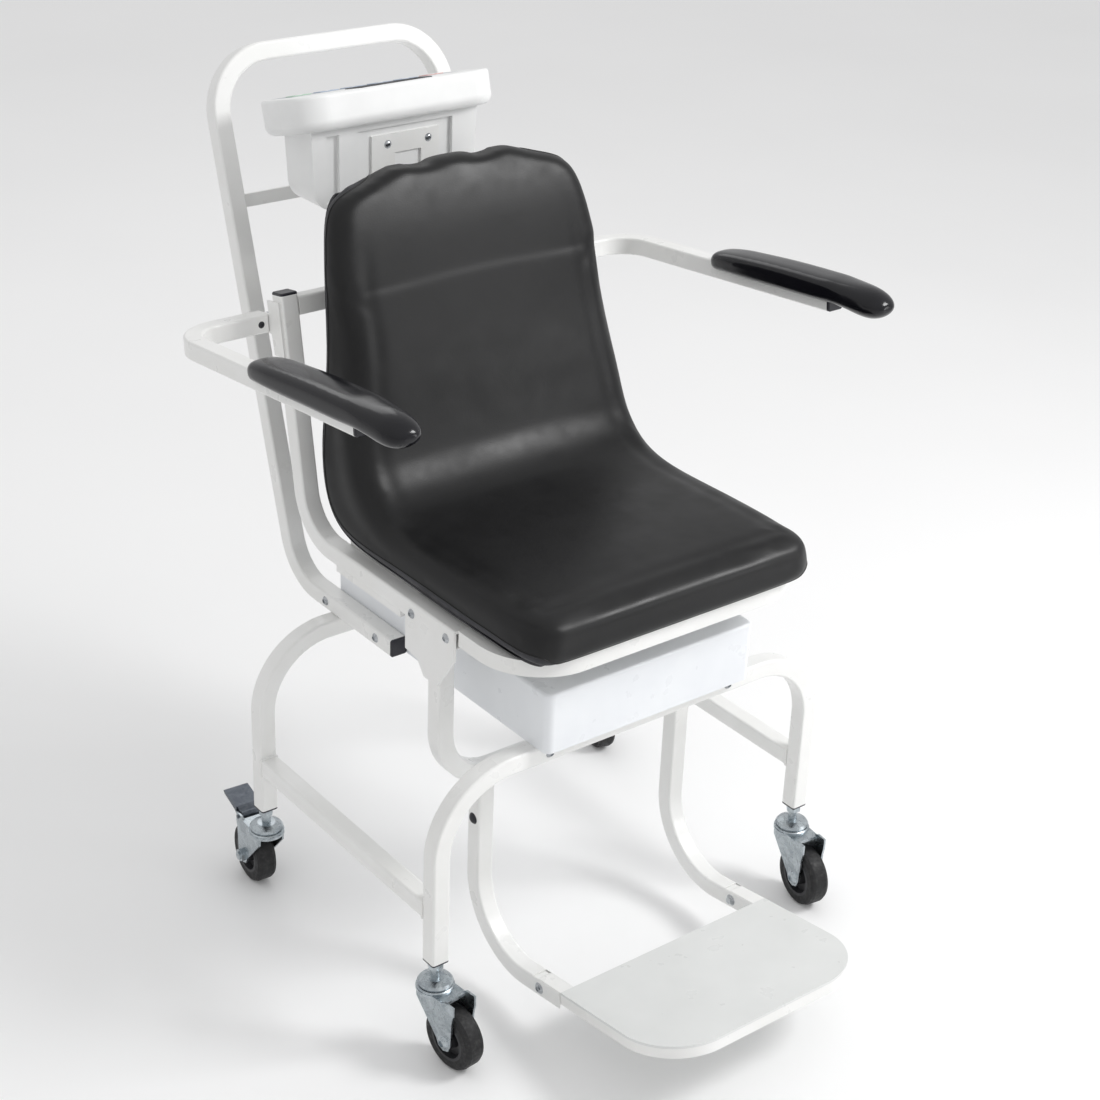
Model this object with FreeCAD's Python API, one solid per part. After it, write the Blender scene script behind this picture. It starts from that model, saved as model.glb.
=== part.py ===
import FreeCAD, Part
import os
from math import sin, cos, tan, radians, degrees, atan, sqrt, pi

# Wheeled chair scale: a tubular base on four swivel casters carries a load-cell housing, and the
# weighed seat frame, arms and footrest stand on the load cell. A push bar behind the seat holds the
# display console. Millimetres, +Z up, the sitter faces -Y, and "left" is the sitter's left (+X).

# --- driving dimensions ---------------------------------------------------------------------------
CENTRE_Y = 12.862        # base centre to the middle of the overall length, removed on export
TUBE = 22.0              # square tube, outside
WALL = 1.5               # tube wall
TUBE_CORNER = 3.0        # outside corner radius of the tube
HALF = TUBE / 2
HOUSE_STEEL = 2.0        # sheet thickness of the housing

LEG_X, LEG_Y = 270.0, 181.0      # leg centres
LEG_FOOT_Z = 124.0               # lower end of the leg tubes
CROSS_Z = 346.5                  # centre of the bent top crossbars
CROSS_BEND = 90.0
RAIL_Z = 187.5                   # centre of the side rails

WHEEL_R, WHEEL_W = 37.5, 25.0
TRAIL = 34.0                     # swivel axis to axle
AXLE_R, KINGPIN_R, FIT = 5.0, 5.0, 0.05
FORK_GAP = 29.0                  # between the fork cheeks
CHEEK = 2.5
CROWN_Z = 86.0                   # underside of the fork crown
CASTERS = {                      # name: (leg x, leg y, trail direction in degrees, has brake)
    "front_right": (-LEG_X, -LEG_Y, -84.0, False),
    "front_left": (LEG_X, -LEG_Y, -98.0, False),
    "rear_right": (-LEG_X, LEG_Y, 86.0, True),
    "rear_left": (LEG_X, LEG_Y, 72.0, True),
}
PEDAL_PIVOT = (43.0, 88.5)       # pedal pin: distance from swivel axis, height

HOUSE_X, HOUSE_Y = 147.0, 208.0  # half sizes of the load-cell housing
HOUSE_Z0, HOUSE_Z1 = CROSS_Z + HALF, 430.5
FLOOR_T = 3.0
CELL = (40.0, 150.0, 25.0)       # load cell block

PUSH_X = HOUSE_X + HALF          # push bar legs lie against the housing sides
PUSH_RUN_Z = HOUSE_Z0 + HALF
PUSH_LEAN = 0.300                # rearward run per unit of height
PUSH_FOOT_Y = 277.4
PUSH_TOP_Z = 963.5
PUSH_END_Y = 61.0

SEAT_FRAME_X = 196.0
SEAT_RAIL_Z = 475.0
SEAT_RAIL_FRONT = -118.0
UPRIGHT_LEAN = 0.1728
UPRIGHT_TOP_Z = 753.0
UPRIGHT_FOOT_Y = 185.4           # upright centre line at rail height

ARM_X, ARM_Y, ARM_Z = 319.0, 256.0, 716.0   # arm tube line, pivot line
ARM_FRONT = -115.0
ARM_RISE = 0.100                 # the arms climb towards the front
ARM_BEND = 47.0
ARM_PIN_R = 8.0
ARM_START_X = 211.0              # inner ends of the arm tubes
ARM_SCREW_X = 220.0

HANGER_Y, HANGER_Z, HANGER_BEND = -80.0, 268.0, 70.0
FOOT_X, DROP_Y, FOOT_BEND = 145.0, -90.0, 88.0    # footrest tubes: across, along and their bend
FOOT_PIVOT_Y, FOOT_Z = -223.0, 58.0               # fold pin
FOOT_SLOPE = 0.15                # the footrest climbs towards its front edge
FOOT_PIN_R = 4.0
PLATE_REAR, PLATE_FRONT = FOOT_PIVOT_Y - 38.0, FOOT_PIVOT_Y - 222.0   # before tilting
PLATE_CORNER = 74.0
CHEEK_R = 37.5                   # rounded ends of the footrest tubes about the fold pin

TRAY_Z0, TRAY_Z1 = 473.0, 491.6
SEAT_HALF_W = 205.0

CONSOLE_LEAN = 16.0              # degrees the console top tips towards the operator
CONSOLE_Y, CONSOLE_Z = 290.0, 954.0   # front top edge of the lid
LID_HALF_W, LID_DEPTH, LID_CORNER = 140.0, 114.0, 40.0
LID_T, BAND_H = 6.0, 41.0        # lid alone, lid with the band of the body under it
BODY_Y, BODY_DEPTH, BODY_BOTTOM = 303.0, 60.0, 812.0
BODY_HALF_W = 117.0
WINDOW = (96.0, 34.0)            # display width and depth
KEYPAD = (236.0, 46.0)


def vec(*p):
    return FreeCAD.Vector(*p)


X, Y, Z = vec(1, 0, 0), vec(0, 1, 0), vec(0, 0, 1)


# --- shared shapes --------------------------------------------------------------------------------
def box(x0, x1, y0, y1, z0, z1):
    return Part.makeBox(x1 - x0, y1 - y0, z1 - z0, vec(x0, y0, z0))


def rod(radius, length, base, axis):
    return Part.makeCylinder(radius, length, vec(*base), vec(*axis))


def fuse(*shapes):
    return shapes[0].multiFuse(list(shapes[1:])).removeSplitter() if len(shapes) > 1 else shapes[0]


def group(shapes):
    return Part.makeCompound(shapes)


def mirror_x(shape):
    return shape.mirror(vec(0, 0, 0), X)


def rounded_wire(origin, side, up, width, height, corner):
    """Rectangle with round corners in the plane of side and up."""
    w, h, k = width / 2, height / 2, corner * (1 - sqrt(0.5))
    turns = [((w, h - corner), (w - k, h - k), (w - corner, h)),
             ((corner - w, h), (k - w, h - k), (-w, h - corner)),
             ((-w, corner - h), (k - w, k - h), (corner - w, -h)),
             ((w - corner, -h), (w - k, k - h), (w, corner - h))]
    turns = [[origin + side * a + up * b for a, b in turn] for turn in turns]
    edges = []
    for i, (start, middle, end) in enumerate(turns):
        edges.append(Part.Arc(start, middle, end).toShape())
        edges.append(Part.makeLine(end, turns[(i + 1) % 4][0]))
    return Part.Wire(edges)


def tube_face(origin, side, up, size=TUBE, wall=WALL, corner=TUBE_CORNER):
    outer = Part.Face(rounded_wire(origin, side, up, size, size, corner))
    if not wall:
        return outer
    bore = size - 2 * wall
    return outer.cut(Part.Face(rounded_wire(origin, side, up, bore, bore, corner - wall)))


def bent_tube(path, bends, side, wall=WALL, size=TUBE, corner=TUBE_CORNER):
    """Square tube along straight runs joined by round bends. side is the profile's first direction."""
    points = [vec(*p) for p in path]
    side = vec(*side)
    heading = (points[1] - points[0]).normalize()
    at = points[0]
    pieces = []
    for i in range(1, len(points)):
        last = i == len(points) - 1
        trim = 0.0
        if not last:
            leaving = (points[i + 1] - points[i]).normalize()
            angle = heading.getAngle(leaving)
            trim = bends[i - 1] * tan(angle / 2)
        length = (points[i] - at).dot(heading) - trim
        face = tube_face(at, side, heading.cross(side), size, wall, corner)
        pieces.append(face.extrude(heading * length))
        at = at + heading * length
        if not last:
            axis = heading.cross(leaving).normalize()
            centre = at + axis.cross(heading) * bends[i - 1]
            face = tube_face(at, side, heading.cross(side), size, wall, corner)
            pieces.append(face.revolve(centre, axis, degrees(angle)))
            turn = FreeCAD.Rotation(axis, degrees(angle))
            side = turn.multVec(side)
            at = centre + turn.multVec(at - centre)
            heading = leaving
    return fuse(*pieces)


def end_plug(at, out, side, depth=14.0, flange=3.0, size=TUBE, wall=WALL, taper=1.2):
    """Push-in end cap. The flange lies against the tube's end at `at`, facing `out`."""
    at, out, side = vec(*at), vec(*out).normalize(), vec(*side)
    up = out.cross(side)
    bore = size - 2 * wall
    inner = Part.Face(rounded_wire(at - out * depth, side, up, bore, bore, TUBE_CORNER - wall))
    cap = Part.Face(rounded_wire(at, side, up, size, size, TUBE_CORNER)).extrude(out * flange)
    rim = [e for e in cap.Edges if all((v.Point - at).dot(out) > flange - 0.01 for v in e.Vertexes)]
    return fuse(inner.extrude(out * depth), cap.makeChamfer(taper, rim))


def button_screw(at, out, shaft_r, grip, head_r=None, head_h=None, socket=True):
    """Round-head screw. The head's underside is at `at`; the shaft runs `grip` the other way."""
    at, out = vec(*at), vec(*out).normalize()
    head_r = head_r or shaft_r * 1.9
    head_h = head_h or shaft_r * 1.1
    dome_r = (head_r ** 2 + head_h ** 2) / (2 * head_h)
    head = Part.makeSphere(dome_r, at - out * (dome_r - head_h)).common(
        Part.makeCylinder(head_r + 1, head_h + 1, at, out))
    screw = fuse(head, Part.makeCylinder(shaft_r, grip, at - out * grip, out))
    if socket:
        depth = head_h * 0.55
        ref = out.cross(X if abs(out.dot(X)) < 0.9 else Y).normalize()
        other = out.cross(ref)
        across = head_r * 0.5
        start = at + out * (head_h - depth)
        ring = [start + ref * (across * cos(radians(60 * k))) + other * (across * sin(radians(60 * k)))
                for k in range(7)]
        screw = screw.cut(Part.Face(Part.makePolygon(ring)).extrude(out * (depth + 1)))
    return screw


def hex_nut(at, axis, across, height, bore_r):
    at, axis = vec(*at), vec(*axis).normalize()
    ref = axis.cross(X if abs(axis.dot(X)) < 0.9 else Y).normalize()
    other = axis.cross(ref)
    r = across / 2 / cos(radians(30))
    ring = [at + ref * (r * cos(radians(60 * k))) + other * (r * sin(radians(60 * k))) for k in range(7)]
    nut = Part.Face(Part.makePolygon(ring)).extrude(axis * height)
    return nut.cut(Part.makeCylinder(bore_r, height + 2, at - axis, axis)) if bore_r else nut


def rounded_plate(x0, x1, y0, y1, z0, z1, radii):
    """Flat plate whose four plan corners have radii in the order (x0,y0), (x1,y0), (x1,y1), (x0,y1)."""
    corners = [(x0, y0, 1, 1), (x1, y0, -1, 1), (x1, y1, -1, -1), (x0, y1, 1, -1)]
    points, edges = [], []
    for i, (cx, cy, sx, sy) in enumerate(corners):
        r = max(radii[i], 0.01)
        a, b = vec(cx, cy + sy * r, z0), vec(cx + sx * r, cy, z0)
        k = r * (1 - sqrt(0.5))
        points.append((a, vec(cx + sx * k, cy + sy * k, z0), b) if i % 2 == 0 else
                      (b, vec(cx + sx * k, cy + sy * k, z0), a))
    for i, (a, m, b) in enumerate(points):
        edges.append(Part.Arc(a, m, b).toShape())
        edges.append(Part.makeLine(b, points[(i + 1) % 4][0]))
    return Part.Face(Part.Wire(edges)).extrude(vec(0, 0, z1 - z0))


def side_profile(points, x0, x1):
    """Closed (y, z) polygon swept from x0 to x1."""
    ring = [vec(x0, y, z) for y, z in points] + [vec(x0, *points[0])]
    return Part.Face(Part.makePolygon(ring)).extrude(vec(x1 - x0, 0, 0))


def turned(profile, axis_at, axis):
    """Solid of revolution of (along, radius) points about an axis."""
    axis_at, axis = vec(*axis_at), vec(*axis).normalize()
    ref = axis.cross(X if abs(axis.dot(X)) < 0.9 else Z).normalize()
    ring = [axis_at + axis * a + ref * r for a, r in profile]
    return Part.Face(Part.makePolygon(ring + [ring[0]])).revolve(axis_at, axis, 360)


parts = {}


# --- base frame -----------------------------------------------------------------------------------
def leg_frame(y):
    return bent_tube([(-LEG_X, y, LEG_FOOT_Z), (-LEG_X, y, CROSS_Z), (LEG_X, y, CROSS_Z),
                      (LEG_X, y, LEG_FOOT_Z)], [CROSS_BEND, CROSS_BEND], (0, 1, 0))


PUSH_BOLTS_Y = (200.0, 92.0)
CROSS_SCREW_X = 129.0
front_frame, rear_frame = leg_frame(-LEG_Y), leg_frame(LEG_Y)
for sx in (-1, 1):
    front_frame = front_frame.cut(rod(3, 6, (sx * CROSS_SCREW_X, -LEG_Y - HALF - 1, CROSS_Z), (0, 1, 0)))
parts["front_leg_frame"] = front_frame
parts["rear_leg_frame"] = rear_frame
for name, sx in (("right_base_rail", -1), ("left_base_rail", 1)):
    end = LEG_Y - HALF
    parts[name] = bent_tube([(sx * LEG_X, -end, RAIL_Z), (sx * LEG_X, end, RAIL_Z)], [], (1, 0, 0))

plugs = []
for lx, ly, _, _ in CASTERS.values():
    plug = end_plug((lx, ly, LEG_FOOT_Z), (0, 0, -1), (1, 0, 0), depth=30)
    plugs.append(plug.cut(rod(5.5, 50, (lx, ly, LEG_FOOT_Z - 10), (0, 0, 1))))
parts["leg_end_plugs"] = group(plugs)

# --- casters --------------------------------------------------------------------------------------
# Each caster is drawn with its stem on the Z axis and the wheel trailing along +X, then turned.
CROWN_T = 3.5
RACE_Z = CROWN_Z + CROWN_T


def caster_stem():
    cap = turned([(RACE_Z + 2.9, 0), (RACE_Z + 2.9, 19.5), (RACE_Z + 5.5, 20.5), (RACE_Z + 8.0, 18.5),
                  (RACE_Z + 11.0, 11.0), (RACE_Z + 12.0, 0)], (0, 0, 0), (0, 0, 1))
    pin = rod(KINGPIN_R, RACE_Z + 3.5 - (CROWN_Z - 5), (0, 0, CROWN_Z - 5), (0, 0, 1))
    rivet = turned([(CROWN_Z - 6.5, 0), (CROWN_Z - 6.5, 6.0), (CROWN_Z - 4.5, 8.0), (CROWN_Z - 0.4, 8.0),
                    (CROWN_Z - 0.4, 0)], (0, 0, 0), (0, 0, 1))
    stem = rod(5.5, 145 - RACE_Z - 11, (0, 0, RACE_Z + 11), (0, 0, 1))
    nut = hex_nut((0, 0, LEG_FOOT_Z - 3.0 - 7.5), (0, 0, 1), 16.0, 7.5, 0)
    return fuse(cap, pin, rivet, stem, nut)


def caster_fork():
    crown = rod(22.0, CROWN_T, (0, 0, CROWN_Z), (0, 0, 1)).fuse(
        box(0, 34, -FORK_GAP / 2 - CHEEK, FORK_GAP / 2 + CHEEK, CROWN_Z, RACE_Z))
    window = rod(WHEEL_R + 3, FORK_GAP, (TRAIL, -FORK_GAP / 2, WHEEL_R), (0, 1, 0))
    race = turned([(RACE_Z - 0.5, 13.0), (RACE_Z - 0.5, 21.5), (RACE_Z + 1.4, 21.5), (RACE_Z + 2.4, 20.0),
                   (RACE_Z + 2.4, 13.0)], (0, 0, 0), (0, 0, 1))
    outline = [(-13, CROWN_Z + 1), (-12, CROWN_Z - 10), (TRAIL - 12, WHEEL_R), (TRAIL - 8, WHEEL_R - 8.5),
               (TRAIL, WHEEL_R - 11.5), (TRAIL + 8, WHEEL_R - 8.5), (TRAIL + 11.5, WHEEL_R),
               (TRAIL + 13, CROWN_Z - 16), (PEDAL_PIVOT[0] + 6, CROWN_Z - 6), (PEDAL_PIVOT[0] + 6, RACE_Z + 3.5),
               (PEDAL_PIVOT[0] - 8, RACE_Z + 3.5), (PEDAL_PIVOT[0] - 13, RACE_Z)]
    cheeks = []
    for s in (-1, 1):
        y = s * (FORK_GAP / 2 + CHEEK / 2)
        ring = [vec(a, y - CHEEK / 2, b) for a, b in outline + outline[:1]]
        cheeks.append(Part.Face(Part.makePolygon(ring)).extrude(vec(0, CHEEK, 0)))
    fork = fuse(crown.cut(window), race, *cheeks)
    fork = fork.cut(rod(KINGPIN_R + FIT, 20, (0, 0, CROWN_Z - 5), (0, 0, 1)))
    return fork.cut(rod(AXLE_R, 60, (TRAIL, -30, WHEEL_R), (0, 1, 0)))


def caster_tyre():
    w = WHEEL_W / 2
    return turned([(-w, 25.0), (-w, WHEEL_R - 5), (-w + 1.6, WHEEL_R - 1.6), (-w + 5, WHEEL_R), (w - 5, WHEEL_R),
                   (w - 1.6, WHEEL_R - 1.6), (w, WHEEL_R - 5), (w, 25.0)], (TRAIL, 0, WHEEL_R), (0, 1, 0))


def caster_hub():
    w, boss = WHEEL_W / 2, FORK_GAP / 2 - 0.6
    return turned([(-w, 25.0), (-w, 21.5), (-5, 20.0), (-5, 11.5), (-boss, 9.5), (-boss, AXLE_R + FIT),
                   (boss, AXLE_R + FIT), (boss, 9.5), (5, 11.5), (5, 20.0), (w, 21.5), (w, 25.0)],
                  (TRAIL, 0, WHEEL_R), (0, 1, 0))


def caster_axle():
    reach = FORK_GAP / 2 + CHEEK
    bolt = button_screw((TRAIL, -reach, WHEEL_R), (0, -1, 0), AXLE_R, 2 * reach + 7.0, 8.5, 4.5)
    return fuse(bolt, hex_nut((TRAIL, reach, WHEEL_R), (0, 1, 0), 15.0, 5.0, 0))


def brake_pedal():
    """Foot pedal with its own hinge pin; it tips down about the pin until the shoe meets the tyre."""
    px, pz = PEDAL_PIVOT
    pin = rod(2.5, FORK_GAP + 2 * CHEEK + 3, (px, -FORK_GAP / 2 - CHEEK - 1.5, pz), (0, 1, 0))
    barrel = rod(5.5, 26, (px, -13, pz), (0, 1, 0))
    shoe = box(px - 2, px + 12, -9, 9, pz - 14, pz - 2)
    outline = [(px, pz + 5.5), (px + 9, pz + 9.0), (px + 40, pz + 15.5), (px + 43, pz + 14), (px + 40, pz + 10.5),
               (px + 12, pz + 3), (px + 4, pz - 4)]
    ring = [vec(a, -16, b) for a, b in outline + outline[:1]]
    plate = Part.Face(Part.makePolygon(ring)).extrude(vec(0, 32, 0))
    clear = [box(-30, px + 7.5, s - 4, s + 4, pz - 30, pz + 30) for s in (-FORK_GAP / 2 - 3.4, FORK_GAP / 2 + 3.4)]
    tyre_room = rod(WHEEL_R + 1.6, 60, (TRAIL, -30, WHEEL_R), (0, 1, 0))
    under = [(px + 13, pz + 1.0), (px + 38, pz + 8.5), (px + 36, pz + 4), (px + 13, pz - 4)]
    rib_ring = [vec(a, -3, b) for a, b in under + under[:1]]
    rib = Part.Face(Part.makePolygon(rib_ring)).extrude(vec(0, 6, 0))
    return fuse(fuse(plate, barrel, shoe, rib).cut(group(clear)).cut(tyre_room), pin)


def place(shape, lx, ly, angle):
    shape = shape.copy()
    shape.rotate(vec(0, 0, 0), Z, angle)
    shape.translate(vec(lx, ly, 0))
    return shape


fork_shape, braked_fork = caster_fork(), caster_fork()
braked_fork = braked_fork.cut(rod(2.5 + FIT, 60, (PEDAL_PIVOT[0], -30, PEDAL_PIVOT[1]), (0, 1, 0)))
parts["caster_stems"] = group([place(caster_stem(), lx, ly, a) for lx, ly, a, _ in CASTERS.values()])
for name, (lx, ly, angle, braked) in CASTERS.items():
    parts[name + "_fork"] = place(braked_fork if braked else fork_shape, lx, ly, angle)
    parts[name + "_tyre"] = place(caster_tyre(), lx, ly, angle)
    parts[name + "_hub"] = place(caster_hub(), lx, ly, angle)
    parts[name + "_axle"] = place(caster_axle(), lx, ly, angle)
    if braked:
        parts[name + "_brake_pedal"] = place(brake_pedal(), lx, ly, angle)

# --- load-cell housing ----------------------------------------------------------------------------
POST = (34.0, 36.0)
POST_Y = 52.0
cover = rounded_plate(-HOUSE_X, HOUSE_X, -HOUSE_Y, HOUSE_Y, HOUSE_Z0, HOUSE_Z1, [10] * 4)
top_edges = [e for e in cover.Edges if all(abs(v.Z - HOUSE_Z1) < 0.01 for v in e.Vertexes)]
cover = cover.makeFillet(4.0, top_edges)
inner = rounded_plate(-HOUSE_X + HOUSE_STEEL, HOUSE_X - HOUSE_STEEL, -HOUSE_Y + HOUSE_STEEL,
                      HOUSE_Y - HOUSE_STEEL, HOUSE_Z0 - 1, HOUSE_Z1 - HOUSE_STEEL, [8] * 4)
cover = cover.cut(inner).cut(box(-POST[0] / 2 - 5, POST[0] / 2 + 5, POST_Y - POST[1] / 2 - 5,
                                 POST_Y + POST[1] / 2 + 5, HOUSE_Z1 - 10, HOUSE_Z1 + 5))
floor = rounded_plate(-HOUSE_X + HOUSE_STEEL, HOUSE_X - HOUSE_STEEL, -HOUSE_Y + HOUSE_STEEL,
                      HOUSE_Y - HOUSE_STEEL, HOUSE_Z0, HOUSE_Z0 + FLOOR_T, [8] * 4)

cell_z0 = HOUSE_Z0 + FLOOR_T + 5.0
cell_z1 = cell_z0 + CELL[2]
cell = box(-CELL[0] / 2, CELL[0] / 2, -CELL[1] / 2, CELL[1] / 2, cell_z0, cell_z1)
cell = cell.cut(fuse(*[rod(8.5, 60, (-30, y, (cell_z0 + cell_z1) / 2), (1, 0, 0)) for y in (-16, 16)],
                     box(-30, 30, -16, 16, (cell_z0 + cell_z1) / 2 - 1.5, (cell_z0 + cell_z1) / 2 + 1.5)))
lower_spacer = box(-20, 20, -CELL[1] / 2, -CELL[1] / 2 + 42, HOUSE_Z0 + FLOOR_T, cell_z0)
CARRIER_Z0 = SEAT_RAIL_Z - HALF - 8.0
post = box(-POST[0] / 2, POST[0] / 2, POST_Y - POST[1] / 2, POST_Y + POST[1] / 2, cell_z1, CARRIER_Z0)
carrier = box(-SEAT_FRAME_X - HALF + 2, SEAT_FRAME_X + HALF - 2, POST_Y - 65, POST_Y + 65, CARRIER_Z0,
              CARRIER_Z0 + 8.0)
carrier = carrier.cut(group([rounded_plate(s * 100 - 55, s * 100 + 55, POST_Y - 40, POST_Y + 40,
                                           CARRIER_Z0 - 1, CARRIER_Z0 + 9, [10] * 4) for s in (-1, 1)]))

# --- push bar -------------------------------------------------------------------------------------
push_top_y = PUSH_FOOT_Y + PUSH_LEAN * (PUSH_TOP_Z - PUSH_RUN_Z)
push_bar = bent_tube(
    [(-PUSH_X, PUSH_END_Y, PUSH_RUN_Z), (-PUSH_X, PUSH_FOOT_Y, PUSH_RUN_Z), (-PUSH_X, push_top_y, PUSH_TOP_Z),
     (PUSH_X, push_top_y, PUSH_TOP_Z), (PUSH_X, PUSH_FOOT_Y, PUSH_RUN_Z), (PUSH_X, PUSH_END_Y, PUSH_RUN_Z)],
    [65.0, 70.0, 70.0, 65.0], (1, 0, 0))
bolt_holes = group([rod(3, 40, (sx * (PUSH_X + HALF + 2), y, PUSH_RUN_Z), (-sx, 0, 0))
                    for sx in (-1, 1) for y in PUSH_BOLTS_Y])
parts["push_bar"] = push_bar.cut(bolt_holes)
parts["housing_cover"] = cover.cut(bolt_holes)
parts["housing_floor"] = floor
parts["load_cell"] = cell
parts["load_cell_mounts"] = group([lower_spacer, post])
parts["carrier_plate"] = carrier

frame_bolts = [button_screw((sx * (PUSH_X + HALF), y, PUSH_RUN_Z), (sx, 0, 0), 3, TUBE + 6)
               for sx in (-1, 1) for y in PUSH_BOLTS_Y]
frame_bolts += [button_screw((sx * CROSS_SCREW_X, -LEG_Y - HALF, CROSS_Z), (0, -1, 0), 3, 5)
                for sx in (-1, 1)]

# --- seat frame -----------------------------------------------------------------------------------
upright_top_y = UPRIGHT_FOOT_Y + UPRIGHT_LEAN * (UPRIGHT_TOP_Z - SEAT_RAIL_Z)
lean_dir = vec(0, UPRIGHT_LEAN, 1).normalize()
lean_out = vec(0, 1, -UPRIGHT_LEAN).normalize()      # rearward, square to the upright
BRACKET_BOLTS = (-42.0, -107.0)
BRACKET_T = 3.0
LOBE_R = 10.5                    # ear of the gusset around the arm pin
rail_outer = SEAT_FRAME_X + HALF


def on_upright(height, outwards=0.0):
    return vec(0, UPRIGHT_FOOT_Y + UPRIGHT_LEAN * (height - SEAT_RAIL_Z), height) + lean_out * outwards


def seat_side(sx):
    tube = bent_tube([(sx * SEAT_FRAME_X, upright_top_y, UPRIGHT_TOP_Z), (sx * SEAT_FRAME_X, UPRIGHT_FOOT_Y, SEAT_RAIL_Z),
                      (sx * SEAT_FRAME_X, SEAT_RAIL_FRONT, SEAT_RAIL_Z)], [62.0], (1, 0, 0))
    ears = [(684, 3 - HALF), (746, 3 - HALF), (746, HALF + 6.5), (684, HALF + 2)]
    corners = [on_upright(height, outwards) for height, outwards in ears]
    ring = [vec(sx * rail_outer, c.y, c.z) for c in corners + corners[:1]]
    gusset = Part.Face(Part.makePolygon(ring)).extrude(vec(sx * BRACKET_T, 0, 0))
    arm_line = on_upright(ARM_Z).y
    lobe_x0 = min(sx * rail_outer, sx * (rail_outer + BRACKET_T))
    lobe = box(lobe_x0, lobe_x0 + BRACKET_T, arm_line, ARM_Y, ARM_Z - LOBE_R, ARM_Z + LOBE_R)
    lobe_end = rod(LOBE_R, BRACKET_T, (sx * rail_outer, ARM_Y, ARM_Z), (sx, 0, 0))
    side = fuse(tube, gusset, lobe, lobe_end)
    side = side.cut(rod(ARM_PIN_R, BRACKET_T, (sx * rail_outer, ARM_Y, ARM_Z), (sx, 0, 0)))
    for y in BRACKET_BOLTS:
        side = side.cut(rod(3, 12, (sx * (rail_outer + 5), y, SEAT_RAIL_Z), (-sx, 0, 0)))
    return side


parts["right_seat_frame"], parts["left_seat_frame"] = seat_side(-1), seat_side(1)

cross_at = on_upright(739)
inner_x = SEAT_FRAME_X - HALF
cross = tube_face(vec(-inner_x, cross_at.y, cross_at.z), lean_out, lean_dir).extrude(vec(2 * inner_x, 0, 0))
TAB_X = 90.0
SHELL_T = 7.0
end_caps = [end_plug((sx * SEAT_FRAME_X, upright_top_y, UPRIGHT_TOP_Z), lean_dir, (1, 0, 0)) for sx in (-1, 1)]
end_caps += [end_plug((sx * PUSH_X, PUSH_END_Y, PUSH_RUN_Z), (0, -1, 0), (1, 0, 0)) for sx in (-1, 1)]


def side_bracket(sx):
    outline = [(-30, SEAT_RAIL_Z + HALF + BRACKET_T), (-122, SEAT_RAIL_Z + HALF + BRACKET_T), (-122, 452), (-92, 408),
               (-66, 408), (-54, 424), (-30, 427)]
    wall = side_profile(outline, sx * rail_outer, sx * (rail_outer + BRACKET_T))
    flange = box(-rail_outer, -rail_outer + 20, -122, -30, SEAT_RAIL_Z + HALF, SEAT_RAIL_Z + HALF + BRACKET_T)
    flange = flange if sx < 0 else mirror_x(flange)
    bracket = fuse(wall, flange)
    outer = [e for e in bracket.Edges if len(e.Vertexes) == 2 and
             all(abs(abs(v.X) - rail_outer - BRACKET_T) < 0.01 and abs(v.Z - SEAT_RAIL_Z - HALF - BRACKET_T) < 0.01
                 for v in e.Vertexes)]
    bracket = bracket.makeFillet(2.8, outer)
    for y in BRACKET_BOLTS:
        bracket = bracket.cut(rod(3, 12, (sx * (rail_outer + 6), y, SEAT_RAIL_Z), (-sx, 0, 0)))
    return bracket


parts["right_side_bracket"], parts["left_side_bracket"] = side_bracket(-1), side_bracket(1)
parts["bracket_bolts"] = group([button_screw((sx * (rail_outer + BRACKET_T), y, SEAT_RAIL_Z), (sx, 0, 0), 3, 5)
                                for sx in (-1, 1) for y in BRACKET_BOLTS])

# --- footrest -------------------------------------------------------------------------------------
hanger_path = [(-SEAT_FRAME_X, HANGER_Y, SEAT_RAIL_Z - HALF), (-SEAT_FRAME_X, HANGER_Y, HANGER_Z),
               (SEAT_FRAME_X, HANGER_Y, HANGER_Z), (SEAT_FRAME_X, HANGER_Y, SEAT_RAIL_Z - HALF)]
hanger_bends = [HANGER_BEND, HANGER_BEND]
parts["footrest_hanger"] = bent_tube(hanger_path, hanger_bends, (0, 1, 0))
hanger_solid = bent_tube(hanger_path, hanger_bends, (0, 1, 0), wall=0)
HEEL_ROOM = 21.0                 # the tubes are open this far behind the fold pin, below
KNOB_Z = 214.0
foot_tilt = atan(FOOT_SLOPE)


def tilt(shape):
    """Turn a level footrest shape about the fold pin so that its front edge rises."""
    shape = shape.copy()
    shape.rotate(vec(0, FOOT_PIVOT_Y, FOOT_Z), X, -degrees(foot_tilt))
    return shape


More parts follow.
